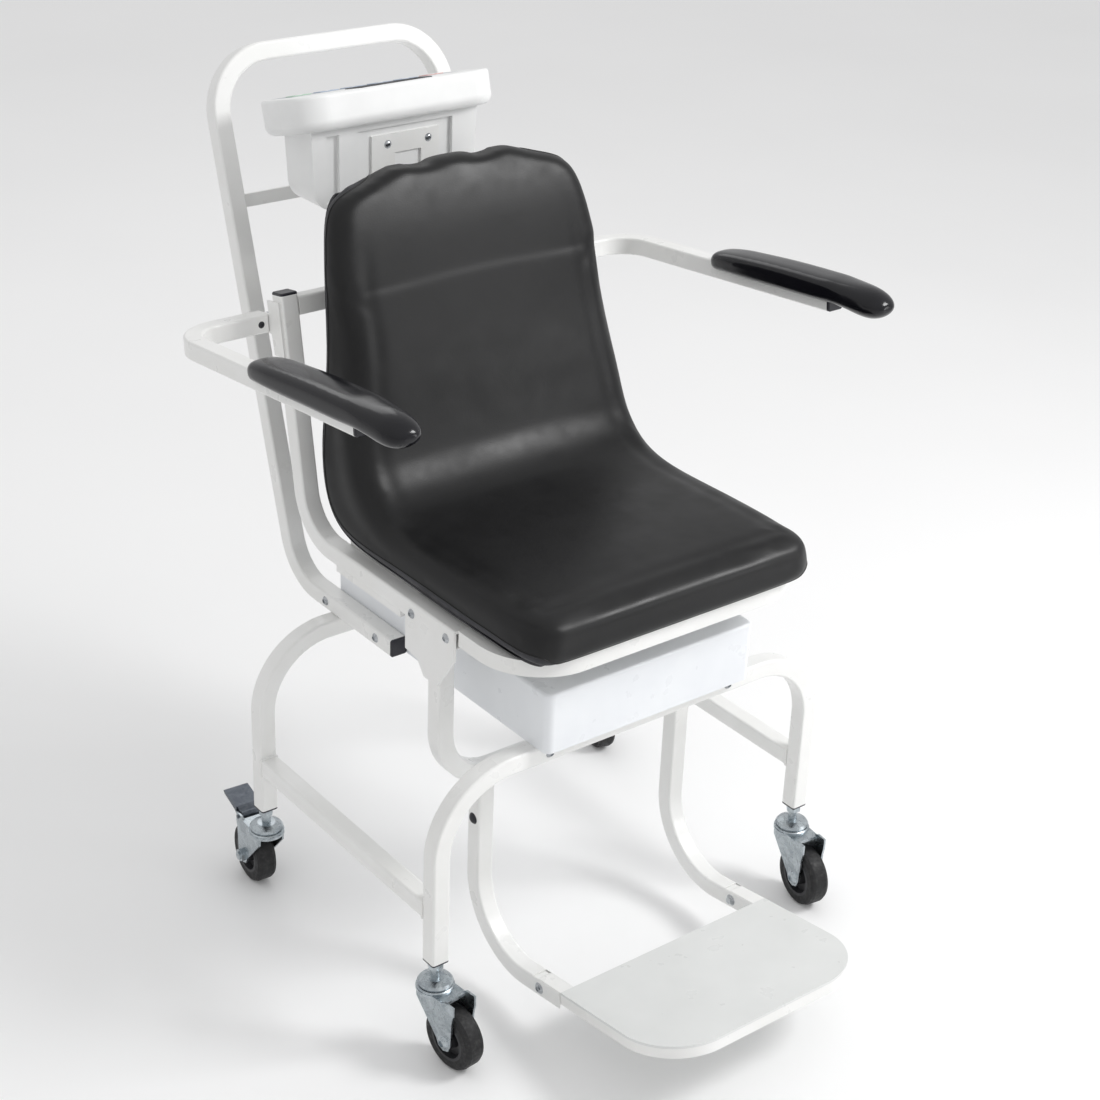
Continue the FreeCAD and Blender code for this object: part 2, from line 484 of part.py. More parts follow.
def footrest_tube(sx):
    x = sx * FOOT_X
    reach = FOOT_PIVOT_Y - PLATE_REAR + 10
    corner = (x, DROP_Y, FOOT_Z - FOOT_SLOPE * (DROP_Y - FOOT_PIVOT_Y))
    end = (x, FOOT_PIVOT_Y - reach * cos(foot_tilt), FOOT_Z + reach * sin(foot_tilt))
    tube = bent_tube([(x, DROP_Y, HANGER_Z + 3), corner, end], [FOOT_BEND], (1, 0, 0)).cut(hanger_solid)
    # the end is a fork: no top or bottom wall, and two cheeks rounded about the fold pin
    x0, x1 = x - HALF + WALL, x + HALF - WALL
    open_top = box(x0, x1, PLATE_REAR - 20, FOOT_PIVOT_Y + 12.5, FOOT_Z, FOOT_Z + HALF + 1)
    open_bottom = box(x0, x1, PLATE_REAR - 20, FOOT_PIVOT_Y + HEEL_ROOM, FOOT_Z - HALF - 1, FOOT_Z)
    beyond = box(x - 20, x + 20, PLATE_REAR - 40, FOOT_PIVOT_Y, FOOT_Z - 20, FOOT_Z + 20).cut(
        rod(CHEEK_R, 60, (x - 30, FOOT_PIVOT_Y, FOOT_Z), (1, 0, 0)))
    for tool in (open_top, open_bottom, beyond):
        tube = tube.cut(tilt(tool))
    tube = tube.cut(rod(FOOT_PIN_R, 60, (x - 30, FOOT_PIVOT_Y, FOOT_Z), (1, 0, 0)))
    return tube.cut(rod(4, 8, (sx * (FOOT_X + HALF + 2), DROP_Y, KNOB_Z), (-sx, 0, 0)))


parts["right_footrest_tube"], parts["left_footrest_tube"] = footrest_tube(-1), footrest_tube(1)
end_caps += [button_screw((sx * (FOOT_X + HALF), DROP_Y, KNOB_Z), (sx, 0, 0), 4, 5, 7, 3.5, socket=False)
             for sx in (-1, 1)]
parts["end_caps"] = group(end_caps)

pins = []
for sx in (-1, 1):
    pins.append(fuse(rod(ARM_PIN_R, 48, (sx * rail_outer, ARM_Y, ARM_Z), (sx, 0, 0)),
                     rod(ARM_PIN_R + 2, 3, (sx * (rail_outer - 3), ARM_Y, ARM_Z), (sx, 0, 0))))
    outer, inner_side = sx * (FOOT_X + HALF), sx * (FOOT_X - HALF)
    pins.append(fuse(button_screw((outer, FOOT_PIVOT_Y, FOOT_Z), (sx, 0, 0), FOOT_PIN_R, TUBE + 4, 7.0, 3.6),
                     button_screw((inner_side, FOOT_PIVOT_Y, FOOT_Z), (-sx, 0, 0), FOOT_PIN_R, 4, 7.0, 3.6,
                                  socket=False)))
parts["pivot_pins"] = group(pins)

# the plate lies on a bent band; two tongues carry it between the cheeks, and their heels meet the
# top wall of the tubes, which stops the plate at its working angle
RIM_T, PLATE_T, GAP = 4.0, 3.0, 0.3
HEEL_L, HEEL_EASE = 17.0, 1.0     # heel length, and how much it clears the rounded inner corners of the tube
plate_x, plate_top = FOOT_X + HALF - 2, FOOT_Z + HALF
radii = [PLATE_CORNER, PLATE_CORNER, 0.01, 0.01]
band_z0 = FOOT_Z - HALF + 7
parts["footplate"] = tilt(rounded_plate(-plate_x, plate_x, PLATE_FRONT, PLATE_REAR, plate_top - PLATE_T, plate_top,
                                        radii))
band = rounded_plate(-plate_x, plate_x, PLATE_FRONT, PLATE_REAR, band_z0, plate_top - PLATE_T, radii)
band = band.cut(rounded_plate(-plate_x + RIM_T, plate_x - RIM_T, PLATE_FRONT + RIM_T, PLATE_REAR + 10, band_z0 - 2,
                              plate_top, [r - RIM_T if r > RIM_T else r for r in radii]))
tongues = []
for sx in (-1, 1):
    x, w = sx * FOOT_X, HALF - WALL - GAP
    tongue = fuse(rod(HALF - GAP, 2 * w, (x - w, FOOT_PIVOT_Y, FOOT_Z), (1, 0, 0)),
                  box(x - w, x + w, PLATE_REAR, FOOT_PIVOT_Y, band_z0, FOOT_Z + HALF - GAP),
                  box(x - w, x + w, PLATE_REAR - 45, PLATE_REAR + 2, band_z0, plate_top - PLATE_T),
                  box(x - w + HEEL_EASE, x + w - HEEL_EASE, FOOT_PIVOT_Y, FOOT_PIVOT_Y + HEEL_L, FOOT_Z - 3,
                      FOOT_Z + HALF - WALL - GAP))
    tongues.append(tongue.cut(rod(FOOT_PIN_R + FIT, 60, (x - 30, FOOT_PIVOT_Y, FOOT_Z), (1, 0, 0))))
parts["footplate_frame"] = tilt(fuse(band, *tongues))

# --- arms -----------------------------------------------------------------------------------------
arm_dir = vec(0, -1, ARM_RISE).normalize()
arm_up = vec(0, ARM_RISE, 1).normalize()


def on_arm(y, rise=0.0, x=0.0):
    """Point at depth y on the arm's centre line, then up square to it."""
    t = (ARM_Y - y)
    return vec(x, y, ARM_Z + ARM_RISE * t) + arm_up * rise


def arm_tube(sx):
    front = on_arm(ARM_FRONT, 0, sx * ARM_X)
    tube = bent_tube([(sx * ARM_START_X, ARM_Y, ARM_Z), (sx * ARM_X, ARM_Y, ARM_Z), tuple(front)], [ARM_BEND],
                     tuple(arm_up))
    sleeve = tube_face(vec(sx * ARM_START_X, ARM_Y, ARM_Z), arm_up, X.cross(arm_up), TUBE - 1, 0,
                       TUBE_CORNER - 1).extrude(vec(sx * 36, 0, 0))
    tube = fuse(tube, sleeve)
    tube = tube.cut(rod(ARM_PIN_R + FIT, 90, (sx * (ARM_START_X - 40), ARM_Y, ARM_Z), (sx, 0, 0)))
    screw_room = rod(2, 3, (sx * ARM_SCREW_X, ARM_Y - HALF - 1, ARM_Z), (0, 1, 0))
    screw_room.rotate(vec(0, ARM_Y, ARM_Z), X, -degrees(atan(ARM_RISE)))
    return tube.cut(screw_room)


def arm_fittings(sx):
    """End plug and the small screw that locks the sleeve in the tube."""
    plug = end_plug(tuple(on_arm(ARM_FRONT, 0, sx * ARM_X)), tuple(arm_dir), (1, 0, 0), flange=4)
    screw = button_screw((sx * ARM_SCREW_X, ARM_Y - HALF, ARM_Z), (0, -1, 0), 2, 2, 4, 1.8)
    screw.rotate(vec(0, ARM_Y, ARM_Z), X, -degrees(atan(ARM_RISE)))
    return group([plug, screw])


def pad_section(y, width, bottom, top, x, roundness=0.42):
    """Closed cross-section of an arm pad, square to the arm."""
    w, h = width / 2, (top - bottom) / 2
    mid = (top + bottom) / 2
    shape = []
    for k in range(16):
        a = 2 * pi * k / 16
        c, s = cos(a), sin(a)
        u = w * (abs(c) ** roundness) * (1 if c >= 0 else -1)
        v = h * (abs(s) ** roundness) * (1 if s >= 0 else -1)
        shape.append(on_arm(y, mid + v, x + u))
    curve = Part.BSplineCurve()
    curve.interpolate(shape, PeriodicFlag=True)
    return Part.Wire([curve.toShape()])


def arm_pad(sx):
    """Pad that wraps the top and sides of the tube and ends in a drooping knob."""
    x = sx * ARM_X
    wrap = HALF - 10                 # lower edge of the pad beside the tube
    sections = [pad_section(ARM_FRONT + d, w, b, t, x, r) for d, w, b, t, r in (
        (196, 14, wrap + 4, wrap + 14, 0.9), (192, 32, wrap, wrap + 20, 0.75), (176, 42, wrap, wrap + 24, 0.62),
        (134, 46, wrap, wrap + 27, 0.6), (67, 47, wrap, wrap + 29, 0.6), (9, 47, wrap, wrap + 29, 0.62),
        (-5, 47, wrap, wrap + 29, 0.66), (-20, 47, wrap - 1, wrap + 28.5, 0.75), (-38, 46, wrap - 4, wrap + 28, 0.86),
        (-54, 45, wrap - 7, wrap + 27, 0.95), (-68, 42, wrap - 7, wrap + 24, 1.0), (-79, 32, wrap - 3, wrap + 18, 1.0),
        (-85, 14, wrap + 4, wrap + 11, 1.0))]
    pad = Part.makeLoft(sections, True, False)
    room_length = 130 - ARM_FRONT + 6
    room = tube_face(on_arm(130, 0, x), X, arm_up, TUBE + 0.02, 0, TUBE_CORNER).extrude(arm_dir * room_length)
    return pad.cut(room)


for name, shape in (("arm_tube", arm_tube(-1)), ("arm_pad", arm_pad(-1)), ("arm_fittings", arm_fittings(-1))):
    parts["right_" + name], parts["left_" + name] = shape, mirror_x(shape)

# --- seat -----------------------------------------------------------------------------------------
tray = rounded_plate(-rail_outer, rail_outer, -241, -126, TRAY_Z0, TRAY_Z1, [80, 80, 0.01, 0.01])
tray = tray.cut(rounded_plate(-rail_outer + 2, rail_outer - 2, -239, -120, TRAY_Z0 - 1, TRAY_Z1 - 2, [78, 78, 0.01, 0.01]))
tray_rear = box(-inner_x, inner_x, -127, 118, TRAY_Z0, TRAY_Z1).cut(
    box(-inner_x + 2, inner_x - 2, -140, 130, TRAY_Z0 - 1, TRAY_Z1 - 2))
parts["seat_tray"] = fuse(tray, tray_rear)

# the one-piece seat and back as rounded sections: lower or rear (y, z), upper or front (y, z), half width
SEAT_EDGE_R = 25.0
TRAY_REST = TRAY_Z1 - 1.0        # sections start a little low and are trimmed flat on the tray
SECTIONS = [
    ((-255, 509), (-255, 527), 162), ((-252.5, 499), (-252.5, 536), 178), ((-246, 494), (-246, 541), 188),
    ((-234, TRAY_REST), (-234, 544), 197), ((-205, TRAY_REST), (-205, 545), 203),
    ((-140, TRAY_REST), (-140, 545), SEAT_HALF_W), ((-50, TRAY_REST), (-45, 543), SEAT_HALF_W),
    ((20, TRAY_REST), (8, 545), SEAT_HALF_W), ((72, TRAY_REST + 1), (42, 552), SEAT_HALF_W),
    ((117, 499), (64, 566), 204.5), ((147, 520), (80, 585), 204), ((162, 553), (89, 605), 203),
    ((168.5, 595), (96, 628), 201), ((172, 650), (105, 664), 195), ((177, 715), (119, 715), 189),
    ((184, 765), (134, 765), 185), ((195, 815), (149, 815), 178), ((203, 845), (160, 845), 171),
    ((207.5, 863), (168, 863), 161), ((210, 875), (174, 875), 137), ((211, 884), (179, 884), 104),
    ((210, 890.5), (185, 890.5), 66), ((206, 894), (192, 894), 28)]
under = [(-234, TRAY_Z1), (-120, TRAY_Z1), (0, TRAY_Z1), (72, TRAY_Z1), (117, 499), (147, 520), (162, 553), (168.5, 595),
         (172, 650), (177, 715), (184, 765), (195, 815), (203, 845), (209, 868)]


def seat_body():
    wires = []
    for low, high, half_w in SECTIONS:
        low, high = vec(0, *low), vec(0, *high)
        depth = (high - low).Length
        wires.append(rounded_wire((low + high) * 0.5, X, (high - low).normalize(), 2 * half_w, depth,
                                  min(SEAT_EDGE_R, 0.45 * depth)))
    loft = Part.makeLoft(wires, True, False)
    return loft.cut(box(-300, 300, -300, 300, 400, TRAY_Z1))


def spline_edge(points):
    curve = Part.BSplineCurve()
    curve.interpolate([vec(0, y, z) for y, z in points])
    return curve.toShape()


def offset_points(points, distance):
    """Points moved square to their polyline, towards its left side."""
    moved = []
    for i, (y, z) in enumerate(points):
        y0, z0 = points[max(i - 1, 0)]
        y1, z1 = points[min(i + 1, len(points) - 1)]
        length = sqrt((y1 - y0) ** 2 + (z1 - z0) ** 2)
        moved.append((y - (z1 - z0) / length * distance, z + (y1 - y0) / length * distance))
    return moved


def seat_outline(half_w, crown):
    """Front view of seat and back, swept along Y, which trims the corners."""
    right = [(half_w, 480), (half_w, 570), (half_w - 4, 620), (half_w - 12, 680), (half_w - 20, 770),
             (half_w - 27, 818), (half_w - 38, 853), (half_w - 62, 878), (half_w - 110, 892 + crown), (0, 899 + crown)]
    points = [vec(x, -400, z) for x, z in right] + [vec(-x, -400, z) for x, z in reversed(right[:-1])]
    curve = Part.BSplineCurve()
    curve.interpolate(points[1:-1])
    edges = [Part.makeLine(points[0], points[1]), curve.toShape(), Part.makeLine(points[-2], points[-1]),
             Part.makeLine(points[-1], points[0])]
    return Part.Face(Part.Wire(edges)).extrude(vec(0, 800, 0))


seat = seat_body()
inner_line, outer_line = offset_points(under, SHELL_T), offset_points(under, -30.0)
band_wire = Part.Wire([spline_edge(outer_line), Part.makeLine(vec(0, *outer_line[-1]), vec(0, *inner_line[-1])),
                       spline_edge(inner_line), Part.makeLine(vec(0, *inner_line[0]), vec(0, *outer_line[0]))])
shell_zone = Part.Face(band_wire).extrude(vec(400, 0, 0))
shell_zone.translate(vec(-200, 0, 0))
SHELL_INSET = 8.0
plan_half = SEAT_HALF_W - SHELL_INSET
shell_plan = rounded_plate(-plan_half, plan_half, -248, 352, 400, 1000, [48, 48, 0.01, 0.01])
shell_zone = shell_zone.common(shell_plan).common(seat_outline(plan_half, -SHELL_INSET))
parts["seat_shell"] = seat.common(shell_zone)
parts["seat_pad"] = seat.cut(shell_zone)

# the crossbar carries two welded tabs that hold the back of the shell
cross_solid = tube_face(vec(-inner_x, cross_at.y, cross_at.z), lean_out, lean_dir, wall=0).extrude(
    vec(2 * inner_x, 0, 0))
tabs = [box(sx * TAB_X - 15, sx * TAB_X + 15, 150, cross_at.y - 5, cross_at.z - 12, cross_at.z + 5)
        .cut(seat).cut(cross_solid) for sx in (-1, 1)]
parts["back_cross_tube"] = fuse(cross, *tabs)

# --- display console ------------------------------------------------------------------------------
# the lid and the band under it are drawn level, front top edge on the X axis, and then tipped back
SKIN = 2.5
tip = radians(CONSOLE_LEAN)


def tip_back(shape):
    shape = shape.copy()
    shape.rotate(vec(0, 0, 0), X, -CONSOLE_LEAN)
    shape.translate(vec(0, CONSOLE_Y, CONSOLE_Z))
    return shape


def band_slab(inset, z0, z1):
    half_w, r = LID_HALF_W - inset, LID_CORNER - inset
    return rounded_plate(-half_w, half_w, inset, LID_DEPTH - inset, z0, z1, [r] * 4)


def rim_at(shape, z):
    return [e for e in shape.Edges if all(abs(v.Z - z) < 0.01 for v in e.Vertexes)]


lid = band_slab(0, -LID_T, 0)
lid = lid.makeFillet(4.0, rim_at(lid, 0)).cut(band_slab(SKIN, -LID_T - 1, -SKIN))
window = box(-WINDOW[0] / 2, WINDOW[0] / 2, 12, 12 + WINDOW[1], -2.0, 0)
keypad = box(-KEYPAD[0] / 2, KEYPAD[0] / 2, 56, 56 + KEYPAD[1], -0.8, 0)
ledge = box(-WINDOW[0] / 2 + 3, WINDOW[0] / 2 - 3, 15, 9 + WINDOW[1], -SKIN - 1, 0)
parts["console_lid"] = tip_back(lid.cut(window).cut(ledge).cut(keypad))
parts["display_window"] = tip_back(window)
parts["keypad"] = tip_back(keypad)

BAND_EDGE_R = 12.0
band = band_slab(0, -BAND_H, -LID_T)
band = band.makeFillet(BAND_EDGE_R, rim_at(band, -BAND_H))
hollow = band_slab(SKIN, SKIN - BAND_H, 1 - LID_T)
hollow = hollow.makeFillet(BAND_EDGE_R - SKIN, rim_at(hollow, SKIN - BAND_H))


def band_underside(y, lift=0.0):
    """Height of the tipped band's underside at y."""
    return CONSOLE_Z - BAND_H / cos(tip) - (y - CONSOLE_Y) * tan(tip) + lift


def body_solid(inset, lift):
    """Tub under the band; its ends and rear wall taper towards a round-cornered bottom."""
    y0, y1 = BODY_Y + inset, BODY_Y + BODY_DEPTH - inset
    low = BODY_BOTTOM + inset
    shape = side_profile([(y0, band_underside(y0, lift)), (y1, band_underside(y1, lift)), (y1 - 4, low), (y0, low)],
                         -LID_HALF_W, LID_HALF_W)
    r = 26.0 - inset
    w0, w1 = BODY_HALF_W - inset, BODY_HALF_W - 5 - inset
    k = r * (1 - sqrt(0.5))
    ends = [[vec(s * (w1 + 0.6), 0, low + r), vec(s * (w1 - k), 0, low + k), vec(s * (w1 - r), 0, low)] for s in (-1, 1)]
    edges = [Part.makeLine(vec(-w0, 0, 960), ends[0][0]), Part.Arc(*ends[0]).toShape(),
             Part.makeLine(ends[0][2], ends[1][2]), Part.Arc(*reversed(ends[1])).toShape(),
             Part.makeLine(ends[1][0], vec(w0, 0, 960)), Part.makeLine(vec(w0, 0, 960), vec(-w0, 0, 960))]
    return shape.common(Part.Face(Part.Wire(edges)).extrude(vec(0, 900, 0)))


CHANNELS = ((-95.0, -78.0), (-52.0, 80.0))   # recesses in the front wall; the bracket lies in the wide one
CHANNEL_DEPTH = 5.0
SCREWS_X, SCREW_Z = (-10.0, 47.0), 878.0
PLATE_X0, PLATE_X1 = -32.0, 62.0             # bracket plate
channel_top = band_underside(BODY_Y) - 8


def channel(x0, x1, grow):
    return box(x0 - grow, x1 + grow, BODY_Y - 1, BODY_Y + CHANNEL_DEPTH + grow, BODY_BOTTOM + 8 - grow,
               channel_top + grow)


board_y = BODY_Y + 18.0
BOARD_HALF_W, BOSS_X = 106.0, 101.0
bosses = [rod(3.5, board_y - BODY_Y - 0.5, (x, BODY_Y + 0.5, z), (0, 1, 0)) for x in (-BOSS_X, BOSS_X)
          for z in (BODY_BOTTOM + 30, BODY_BOTTOM + 64)]
walls = fuse(tip_back(band), body_solid(0, SKIN)).cut(fuse(*[channel(x0, x1, 0) for x0, x1 in CHANNELS]))
inside = body_solid(SKIN, SKIN + 6).cut(fuse(*[channel(x0, x1, SKIN) for x0, x1 in CHANNELS]))
body = walls.cut(inside).cut(tip_back(hollow))
body = fuse(body, *bosses)
web_y0 = BODY_Y + CHANNEL_DEPTH - 3.0
body = body.cut(box(PLATE_X0 - 1, PLATE_X1 + 1, web_y0 - 1, web_y0 + 3.0, BODY_BOTTOM - 1, BODY_BOTTOM + 9))
screw_holes = group([rod(2.5, 12, (x, web_y0, SCREW_Z), (0, 1, 0)) for x in SCREWS_X])
parts["console_body"] = body.cut(screw_holes)
parts["circuit_board"] = fuse(box(-BOARD_HALF_W, BOARD_HALF_W, board_y, board_y + 1.6, BODY_BOTTOM + 22,
                                  BODY_BOTTOM + 72),
                              box(-40, 10, board_y + 1.6, board_y + 6, BODY_BOTTOM + 30, BODY_BOTTOM + 60))
parts["battery_pack"] = box(-56, 56, board_y + 8, board_y + 32, BODY_BOTTOM + SKIN, BODY_BOTTOM + SKIN + 30)

# bracket: a plate in the recess, a web under the console and a cross strip between the push bar legs
strip_y = PUSH_FOOT_Y + PUSH_LEAN * (BODY_BOTTOM - 8 - PUSH_RUN_Z)
plate = box(PLATE_X0, PLATE_X1, web_y0, web_y0 + 3, BODY_BOTTOM - 3, SCREW_Z + 12).cut(
    box(0, 37, web_y0 - 1, web_y0 + 4, BODY_BOTTOM + 12, SCREW_Z - 11))
web = box(PLATE_X0, PLATE_X1, web_y0, strip_y, BODY_BOTTOM - 3, BODY_BOTTOM)
strip = box(-PUSH_X + HALF, PUSH_X - HALF, strip_y - 1.5, strip_y + 1.5, BODY_BOTTOM - 16, BODY_BOTTOM)
parts["console_bracket"] = fuse(plate, web, strip).cut(screw_holes)
frame_bolts += [button_screw((x, web_y0, SCREW_Z), (0, -1, 0), 2.5, 8, 5.0, 2.6) for x in SCREWS_X]
parts["frame_bolts"] = group(frame_bolts)

# --- export ---------------------------------------------------------------------------------------
os.makedirs("parts", exist_ok=True)
for name, shape in parts.items():
    shape = shape.copy()
    shape.translate(vec(0, -CENTRE_Y, 0))
    shape.exportStep("parts/%s.step" % name)

overall = FreeCAD.BoundBox()
for name, shape in parts.items():
    overall.add(shape.BoundBox)
    if not shape.isValid() or len(shape.Solids) == 0:
        print("check", name, shape.isValid(), len(shape.Solids))
print(len(parts), "nodes; overall X %.2f..%.2f Y %.2f..%.2f Z %.2f..%.2f" % (
    overall.XMin, overall.XMax, overall.YMin, overall.YMax, overall.ZMin, overall.ZMax))
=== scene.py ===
"""Looks of a digital chair scale: finishes for its CAD parts, its soft parts, console details, studio."""
import math
from collections import defaultdict

import bpy
from mathutils import Matrix, Vector, noise
from mathutils.bvhtree import BVHTree
from mathutils.kdtree import KDTree


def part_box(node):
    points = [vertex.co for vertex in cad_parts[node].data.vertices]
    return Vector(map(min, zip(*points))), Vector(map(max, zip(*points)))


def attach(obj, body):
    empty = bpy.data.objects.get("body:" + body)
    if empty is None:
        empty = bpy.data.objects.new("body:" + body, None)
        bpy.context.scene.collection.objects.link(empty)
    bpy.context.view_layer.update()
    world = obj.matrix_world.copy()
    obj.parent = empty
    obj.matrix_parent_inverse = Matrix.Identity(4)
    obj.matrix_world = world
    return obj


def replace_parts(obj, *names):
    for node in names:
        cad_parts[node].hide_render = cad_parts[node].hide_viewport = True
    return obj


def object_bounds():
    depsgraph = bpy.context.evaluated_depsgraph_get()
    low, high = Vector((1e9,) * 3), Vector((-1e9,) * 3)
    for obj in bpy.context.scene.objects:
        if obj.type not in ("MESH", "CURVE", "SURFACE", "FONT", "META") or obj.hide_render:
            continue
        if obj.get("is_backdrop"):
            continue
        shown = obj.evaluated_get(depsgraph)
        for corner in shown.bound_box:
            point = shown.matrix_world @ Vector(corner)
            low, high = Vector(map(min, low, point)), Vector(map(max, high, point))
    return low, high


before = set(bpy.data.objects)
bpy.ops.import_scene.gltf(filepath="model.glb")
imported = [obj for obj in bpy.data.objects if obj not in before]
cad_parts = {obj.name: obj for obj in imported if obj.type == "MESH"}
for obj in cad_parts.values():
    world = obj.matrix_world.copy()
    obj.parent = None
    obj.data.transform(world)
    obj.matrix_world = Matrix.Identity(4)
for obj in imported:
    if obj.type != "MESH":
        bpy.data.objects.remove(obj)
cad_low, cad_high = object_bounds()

MM = 0.001
UP = Vector((0, 0, 1))


# --- node material helpers ------------------------------------------------------------------------
class Finish:
    """A Principled material whose colour, roughness and relief come from procedural nodes."""

    def __init__(self, name, roughness, metallic=0.0, specular=0.5, coat=0.0, coat_roughness=0.1):
        self.material = bpy.data.materials.new(name)
        self.material.use_nodes = True
        self.tree = self.material.node_tree
        self.shader = self.tree.nodes["Principled BSDF"]
        settings = {"Roughness": roughness, "Metallic": metallic, "Specular IOR Level": specular,
                    "Coat Weight": coat, "Coat Roughness": coat_roughness}
        for socket, value in settings.items():
            self.shader.inputs[socket].default_value = value
        self.place = self.tree.nodes.new("ShaderNodeTexCoord").outputs["Object"]

    def node(self, kind, **inputs):
        made = self.tree.nodes.new(kind)
        for socket, value in inputs.items():
            self.feed(made.inputs[socket.replace("_", " ")], value)
        return made

    def feed(self, socket, value):
        if isinstance(value, bpy.types.NodeSocket):
            self.tree.links.new(value, socket)
        else:
            socket.default_value = value

    def stretched(self, x, y, z):
        """Object coordinates scaled by axis, for grain that runs one way."""
        return self.node("ShaderNodeMapping", Vector=self.place, Scale=(x, y, z)).outputs["Vector"]

    def noise(self, size, detail=2.0, rough=0.5, place=None, distortion=0.0):
        """Noise from 0 to 1 with features of about the given size in metres."""
        made = self.node("ShaderNodeTexNoise", Vector=place or self.place, Scale=1 / size, Detail=detail,
                         Roughness=rough, Distortion=distortion)
        return made.outputs["Fac"]

    def cells(self, size, feature="F1", smooth=0.35):
        made = self.node("ShaderNodeTexVoronoi", Vector=self.place, Scale=1 / size)
        made.feature = "SMOOTH_F1" if feature == "F1" else feature
        if feature == "F1":
            made.inputs["Smoothness"].default_value = smooth
        return made.outputs["Distance"]

    def spread(self, value, low, high, from_low=0.3, from_high=0.7):
        """Maps a texture's usual range to low..high."""
        made = self.node("ShaderNodeMapRange", Value=value, From_Min=from_low, From_Max=from_high,
                         To_Min=low, To_Max=high)
        return made.outputs["Result"]

    def math(self, operation, a, b=0.0):
        made = self.tree.nodes.new("ShaderNodeMath")
        made.operation = operation
        self.feed(made.inputs[0], a)
        self.feed(made.inputs[1], b)
        return made.outputs[0]

    def height(self):
        """The object's height coordinate."""
        return self.node("ShaderNodeSeparateXYZ", Vector=self.place).outputs["Z"]

    def tint(self, value, *colours):
        """Colour ramp with evenly spaced stops."""
        ramp = self.node("ShaderNodeValToRGB", Fac=value)
        stops = ramp.color_ramp.elements
        while len(stops) < len(colours):
            stops.new(0.5)
        for i, colour in enumerate(colours):
            stops[i].position = i / (len(colours) - 1)
            stops[i].color = (*colour, 1)
        return ramp.outputs["Color"]

    def mix(self, share, a, b):
        made = self.tree.nodes.new("ShaderNodeMix")
        made.data_type = "RGBA"
        for socket, value in ((made.inputs[0], share), (made.inputs[6], a), (made.inputs[7], b)):
            self.feed(socket, value)
        return made.outputs[2]

    def colour(self, value):
        self.feed(self.shader.inputs["Base Color"], value)

    def roughness(self, value):
        self.feed(self.shader.inputs["Roughness"], value)

    def relief(self, *layers):
        """Stacked bump layers, each (height, depth in metres, strength)."""
        normal = None
        for height, depth, strength in layers:
            bump = self.node("ShaderNodeBump", Height=height, Distance=depth, Strength=strength)
            if normal is not None:
                self.feed(bump.inputs["Normal"], normal)
            normal = bump.outputs["Normal"]
        self.feed(self.shader.inputs["Normal"], normal)


def powder_coat(name, light, dark, scuff=(0.6, 0.59, 0.57), scuff_top=0.22):
    """Semi-gloss powder paint: orange peel, faint clouding, and scuffs that fade above scuff_top."""
    f = Finish(name, 0.3, coat=0.25, coat_roughness=0.12)
    clouds = f.tint(f.spread(f.noise(0.11, 3, 0.6), 0, 1), dark, light)
    marks = f.spread(f.noise(0.006, 6, 0.75, f.stretched(1, 1, 0.35)), 0, 0.8, 0.66, 0.76)
    low_down = f.spread(f.height(), 0.5, 0.02, 0.02, scuff_top)
    f.colour(f.mix(f.math("MULTIPLY", marks, low_down), clouds, (*scuff, 1)))
    f.roughness(f.spread(f.noise(0.03, 4), 0.26, 0.4))
    f.relief((f.noise(0.0024, 2), 0.00012, 0.35), (f.noise(0.0006, 1), 0.00003, 0.3))
    return f.material


def zinc(name, light, dark, smooth=0.2, rough=0.36):
    """Bright passivated zinc: bluish blotches, fine spangle, faint drawing lines."""
    f = Finish(name, smooth, metallic=1.0)
    blotch = f.noise(0.014, 4, 0.65, distortion=0.6)
    spangle = f.cells(0.0022)
    f.colour(f.mix(f.spread(spangle, 0, 0.35, 0.1, 0.7), f.tint(f.spread(blotch, 0, 1), dark, light),
                   (*[0.6 * c for c in light], 1)))
    f.roughness(f.spread(blotch, smooth, rough))
    f.relief((f.noise(0.0009, 2, 0.5, f.stretched(0.25, 0.25, 1)), 0.00003, 0.5), (spangle, 0.00002, 0.3))
    return f.material


def moulded(name, light, dark, roughness, grain=0.0011, depth=0.00006):
    """Moulded plastic: spark-eroded texture and a little flow clouding."""
    f = Finish(name, roughness)
    f.colour(f.tint(f.spread(f.noise(0.05, 3), 0, 1), dark, light))
    f.roughness(f.spread(f.noise(0.02, 3), 0.85 * roughness, 1.2 * roughness))
    f.relief((f.noise(grain, 3, 0.6), depth, 0.5), (f.noise(12 * grain, 1), 2 * depth, 0.15))
    return f.material


def skin(name, light, dark, roughness, grain, depth, specular=0.4, coat=0.0):
    """Self-skinned foam or vinyl: pebbled grain with finer creases between the pebbles."""
    f = Finish(name, roughness, specular=specular, coat=coat, coat_roughness=0.16)
    f.colour(f.tint(f.spread(f.noise(0.07, 4, 0.6), 0, 1), dark, light))
    f.roughness(f.spread(f.noise(0.035, 3), 0.86 * roughness, 1.14 * roughness))
    f.relief((f.noise(0.045, 2), 0.0005, 0.12), (f.cells(grain), depth, 0.55),
             (f.noise(0.4 * grain, 3, 0.6), 0.5 * depth, 0.4))
    return f.material


def rubber(name, light, dark):
    """Tyre rubber: dull, finely pitted, with pale dust where it rolls."""
    f = Finish(name, 0.55, specular=0.35)
    dust = f.spread(f.noise(0.009, 5, 0.7), 0, 0.5, 0.5, 0.75)
    f.colour(f.mix(dust, (*dark, 1), (*light, 1)))
    f.roughness(f.spread(f.noise(0.004, 3), 0.45, 0.7))
    f.relief((f.noise(0.0008, 4, 0.7), 0.00008, 0.7))
    return f.material


